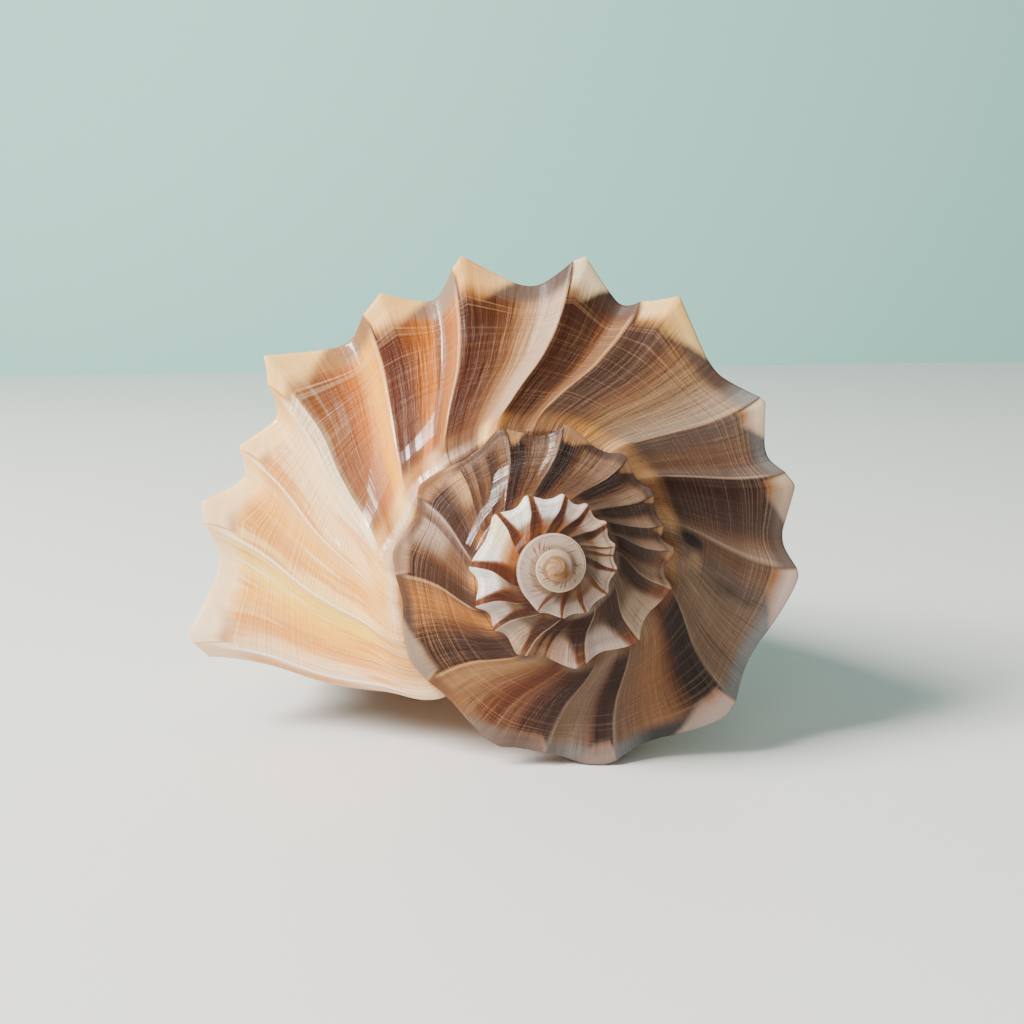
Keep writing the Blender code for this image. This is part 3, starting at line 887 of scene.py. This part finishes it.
def ground(g):
    """The colours of the ramp, which change from the suture's side to the shoulder's, with painted shade on
    the sides away from the light.
    """
    low = by_growth(g, GROUND_LIP, GROUND_AND_SHADE_LAST, SPIRE_LOW_AND_SHADE, FIRST_TURNS)
    high = by_growth(g, GROUND_LIP, GROUND_AND_SHADE_LAST, SPIRE_HIGH_AND_SHADE, FIRST_TURNS)
    return g.blend(low, high, (g.station + g.cloudy.swing(0.1)).step(0.45, 0.72))


def add_streaks(g, colour):
    """Dark streaks along the growth lines, with a warm fringe."""
    fringe = g.blend(tint(FRINGE_LAST), tint(FRINGE_SPIRE), g.turns.step(0.9, 1.2))
    fringe = g.blend(fringe, tint(FRINGE_EARLY), g.early)
    at_fringe = g.amount.between((0.05, 0.35), (0.5, 0.8))
    colour = g.blend(colour, fringe, at_fringe * (0.40 + g.early * 0.5))
    core = g.blend(g.deep, tint(STREAK_SHOULDER), g.station.step(0.72, 0.98) * g.spire * 0.8)
    return g.blend(colour, core, g.amount.step(0.02, 0.60))


def add_suture(g, colour):
    """The band beside the suture, painted shade along the seam in it, and the pale fold near the lip."""
    near = by_growth(g, SUTURE_LIP, SUTURE_LAST, SUTURE_SPIRE, SUTURE_TOP)
    colour = g.blend(colour, near, g.by_suture * 0.9 * (1.0 - g.early * g.dark * 0.8))
    # Painted shade: a dark line in the crease where the turns meet, along the suture
    seam = 1.0 - (g.station + g.growth_lines.swing(0.02)).step(0.008, 0.038)
    colour = g.blend(colour, tint(SEAM_SHADE), seam * g.turns.between(*SEAM_SHADE_TURNS) * 0.85)
    fold = g.station.ridge(0.065, 0.05) * g.turns.between(*FOLD_TURNS)
    return g.blend(colour, tint(FOLD), fold * (0.45 + g.cloudy * 0.3))


def add_lines(g, colour):
    """Threads along the growth and fine lines across it, pale and dark."""
    upper = g.station.between((0.60, 0.80), (0.90, 0.96))
    strength = 0.09 + g.turns.step(0.28, 0.38) * 0.12 + upper * 0.16 - g.dark * 0.06
    marks = g.marked * (g.patches.step(0.35, 0.65) * 0.16 + 0.02)
    pale_threads = g.threads.step(0.54, 0.66) * strength + marks
    pale_threads = pale_threads.clamp() * (1.0 - g.spire * 0.6) * (1.0 - g.by_suture * 0.7)
    colour = g.blend(colour, g.pale, pale_threads)

    # Near the lip the pale lines are stronger, partly a painted highlight along them
    pale_lines = g.growth_lines.step(0.54, 0.74) * (0.24 + g.lip * 0.3)
    pale_lines = pale_lines * (1.0 - g.spire * 0.4) * (1.0 - g.amount.clamp() * 0.7)
    colour = g.blend(colour, g.pale, pale_lines * (1.0 - g.by_suture * 0.6))

    dark_lines = (1.0 - g.growth_lines.step(0.30, 0.46)) * 0.25
    colour = g.blend(colour, g.deep, dark_lines * (1.0 - g.lip))
    dark_threads = (1.0 - g.threads.step(0.38, 0.48)) * (0.12 + g.turns.between(*RIBBED_TURNS) * 0.50)
    return g.blend(colour, g.deep, dark_threads * (1.0 - g.lip) * (1.0 - g.spire))


def add_lip_lines(g, colour):
    """Golden and tan growth lines near the lip."""
    gold = (1.0 - g.broad_lines.step(0.42, 0.54)) * g.lip * (0.70 - g.by_suture * 0.4)
    colour = g.blend(colour, tint(LIP_GOLD), gold)
    return g.blend(colour, tint(LIP_TAN), (1.0 - g.growth_lines.step(0.34, 0.47)) * g.lip * 0.5)


def add_crests_and_highlights(g, colour):
    """A pale line along the crest of each rib: partly the crest's own paler colour, mostly a painted
    highlight, stronger near the lip.
    """
    crest = ((1.0 - g.behind.step(0.0, 0.03)) + g.behind.step(0.965, 0.99)).clamp()
    crest = crest * (1.0 - g.side) * g.station.step(0.05, 0.3) * (1.0 - g.early)
    # Painted highlight along the crests, over their own paler colour
    return g.blend(colour, g.pale, crest * (0.5 + g.lip * 0.4))


def add_margin(g, colour):
    """The edge of the shoulder between the spines: its own grey, with painted shade on the side away from the
    light.
    """
    share = g.margin * 0.95 * (1.0 - g.side * 0.4) * (1.0 - g.spire) * g.outer
    return g.blend(colour, by_growth(g, MARGIN_AND_SHADE_LAST), share)


def add_tips(g, colour):
    """The spines' pale tips, rusty on the side of growth, and darker with painted shade on the side away from
    the light.
    """
    cream_and_shade = by_growth(g, TIP_AND_SHADE_LAST)
    rust = (1.0 - g.behind.step(0.10, 0.45)) * (0.85 - g.turns.step(0.55, 0.75) * 0.5)
    rusty = g.blend(cream_and_shade, tint(TIP_RUST), rust)
    tip = g.blend(rusty, cream_and_shade, g.at_tip.step(0.35, 0.95))
    return g.blend(colour, tip, g.at_tip.step(0.0, 0.6) * g.outer)


def add_break(g, colour):
    """The old break, with ragged dark and pale marks."""
    ragged = (g.cloudy.swing(0.6) + g.growth_lines.swing(0.5)) * g.mark.math("ABSOLUTE").step(0.0, 0.2)
    torn = g.mark + ragged
    colour = g.blend(colour, tint(BREAK_DARK), torn.step(0.10, 0.9))
    return g.blend(colour, tint(BREAK_PALE), (0.0 - torn).step(0.10, 0.75) * 0.62)


def add_freckles(g, colour):
    """Rusty freckles on the small turns near the apex."""
    freckled = g.broad_lines.step(0.53, 0.62) * g.turns.between(*FRECKLED_TURNS)
    return g.blend(colour, tint(FRECKLE), freckled * (1.0 - g.station.step(0.55, 0.90)) * 0.85)


def body_ground(g):
    """The side wall and the canal, below the shoulder."""
    colour = g.blend(tint(BODY_CREAM), tint(BODY_WARM), ((g.broad_lines + g.patches) * 0.5).step(0.36, 0.66))
    layers = (
        (BODY_STREAK, (g.amount + g.dark * 0.3).step(0.06, 0.50) * 0.9),
        (BODY_THREAD, (1.0 - g.threads.step(0.36, 0.48)) * (0.26 - g.lip * 0.13)),
        (BODY_PALE_THREAD, g.threads.step(0.54, 0.66) * 0.22),
        (BODY_LINE, (1.0 - g.growth_lines.step(0.28, 0.45)) * 0.35),
        (BODY_LIP, g.lip * 0.45),
    )
    for shade, share in layers:
        colour = g.blend(colour, tint(shade), share)
    return colour


def cavity_ground(g):
    """The inside, paler at the lip's edge."""
    stops = ((0.0, tint(INSIDE_TOP)), (0.5, tint(INSIDE_MIDDLE)), (1.0, tint(INSIDE_END)))
    return g.blend(tint(INSIDE_EDGE), g.ramp(g.station / END, stops), g.turns.step(0.0, 0.12))


def relief(g):
    """Growth lines and threads as bump, weaker on the margin and the tips."""
    height = g.growth_lines * 0.32 + g.threads * (0.20 + g.spire * 0.1) + g.broad_lines * 0.6
    height = height + g.marked * 0.08
    height = height * (1.0 - g.margin * (1.0 - g.side) * 0.45 - g.at_tip * 0.35)
    return g.add("ShaderNodeBump", {}, {"Strength": 1.0, "Distance": BUMP_DEPTH, "Height": height})


def gloss(g):
    """Weight of the clear coat and roughness: glints along the lines, where the light falls flat."""
    wet = g.turns.between(*WET_LIP_TURNS) + g.turns.between(*WET_SPIRE_TURNS)
    along = g.growth_lines + (g.fine_threads - g.growth_lines) * g.turns.step(0.6, 0.9)
    glints = along.step(0.52, 0.58) * (g.broad_lines.step(0.40, 0.5) * 0.6 + 0.4)
    coat = (0.08 + wet * glints * 0.92).clamp() * g.outer
    return coat, 0.36 + g.cloudy * 0.12 + g.growth_lines * 0.12 - wet.clamp() * glints * 0.26


def shell_glaze():
    g = ShellGlaze()
    colour = ground(g)
    over_ground = (add_streaks, add_suture, add_lines, add_lip_lines, add_crests_and_highlights)
    over_lines = (add_margin, add_tips, add_break, add_freckles)
    for add_layer in over_ground + over_lines:
        colour = add_layer(g, colour)
    colour = g.blend(colour, body_ground(g), g.station.step(1.10, 1.90) * g.outer * 0.92)
    colour = g.blend(cavity_ground(g), colour, g.outer)
    coat, roughness = gloss(g)
    values = {"Base Color": colour, "Roughness": roughness, "Normal": relief(g), "Coat Weight": coat}
    values.update({"Specular IOR Level": SPECULAR, "Coat Roughness": COAT_ROUGHNESS})
    return g.finish(values)


def plain(name, shade, roughness):
    return Glaze(name).finish({"Base Color": tint(shade), "Roughness": roughness})


def pane(name, place, turn, glaze):
    """One of the stage's two large squares."""
    bpy.ops.mesh.primitive_plane_add(size=STAGE_SIZE, location=place, rotation=turn)
    piece = bpy.context.object
    piece.name = name
    bpy.ops.object.transform_apply(location=True, rotation=True, scale=True)
    piece.data.materials.append(glaze)
    return piece


def set_stage():
    half = STAGE_SIZE / 2.0
    floor_place = (0.0, BACKDROP_AT - half, -FLOOR_GAP)
    wall_place = (0.0, BACKDROP_AT, half - BACKDROP_SUNK)
    floor = pane("floor", floor_place, (0.0, 0.0, 0.0), plain("pale_floor", FLOOR_GREY, 0.5))
    backdrop = pane("backdrop", wall_place, (math.pi / 2, 0.0, 0.0), plain("pale_backdrop", WALL_GREEN, 0.8))


def soft_light(name, place, aim, size, watts, colour):
    data = bpy.data.lights.new(name, "AREA")
    data.shape = "RECTANGLE"
    data.size, data.size_y = size
    data.energy = watts
    data.color = colour
    lamp = bpy.data.objects.new(name, data)
    bpy.context.scene.collection.objects.link(lamp)
    lamp.location = place
    direction = np.array(aim) - np.array(place)
    lamp.rotation_euler = Vector(direction).to_track_quat("-Z", "Y").to_euler()


def set_light():
    for lamp in LAMPS:
        soft_light(*lamp)
    world = bpy.data.worlds.new("soft_room")
    world.use_nodes = True
    around = world.node_tree.nodes["Background"]
    around.inputs["Color"].default_value = ROOM_COLOUR
    around.inputs["Strength"].default_value = ROOM_LIGHT
    bpy.context.scene.world = world


def set_camera():
    """Works out the camera around the shell's own axis, and lays it down with the shell."""
    along = Vector(VIEW_DOWN_AXIS).normalized()
    right = Vector((1.0, 0.0, -along.x)).normalized()
    up = -(along.cross(right))
    from_view = Matrix((right, up, along))
    centre = -(from_view @ Vector(APEX_IN_VIEW))
    place = Vector(lie_down(np.array([[centre.x, centre.y, -centre.z]]))[0])
    ahead = []
    for view_axis in ((1.0, 0.0, 0.0), (0.0, -1.0, 0.0), (0.0, 0.0, -1.0)):
        v = from_view @ Vector(view_axis)
        ahead.append((centre.x + v.x, centre.y + v.y, -(centre.z + v.z)))
    directions = (lie_down(np.array(ahead)) - np.array(place)) / MM
    turned = Matrix([tuple(d) for d in directions]).transposed()

    data = bpy.data.cameras.new("camera")
    data.lens = LENS
    data.sensor_width = SENSOR
    data.clip_start = CLIP_START
    camera = bpy.data.objects.new("camera", data)
    bpy.context.scene.collection.objects.link(camera)
    camera.matrix_world = Matrix.Translation(place) @ turned.to_4x4()
    bpy.context.scene.camera = camera


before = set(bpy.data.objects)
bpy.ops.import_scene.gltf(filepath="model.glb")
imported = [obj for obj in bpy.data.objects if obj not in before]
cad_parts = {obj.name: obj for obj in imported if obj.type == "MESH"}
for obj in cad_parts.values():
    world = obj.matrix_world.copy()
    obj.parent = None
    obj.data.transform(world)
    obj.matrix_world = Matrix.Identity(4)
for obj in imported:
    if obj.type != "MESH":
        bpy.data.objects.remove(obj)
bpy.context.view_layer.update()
bpy.ops.object.select_all(action="DESELECT")

shell = make_shell()
shell.data.materials.append(shell_glaze())
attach(shell, "root")
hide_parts("whelk_shell")

set_stage()
set_light()
set_camera()
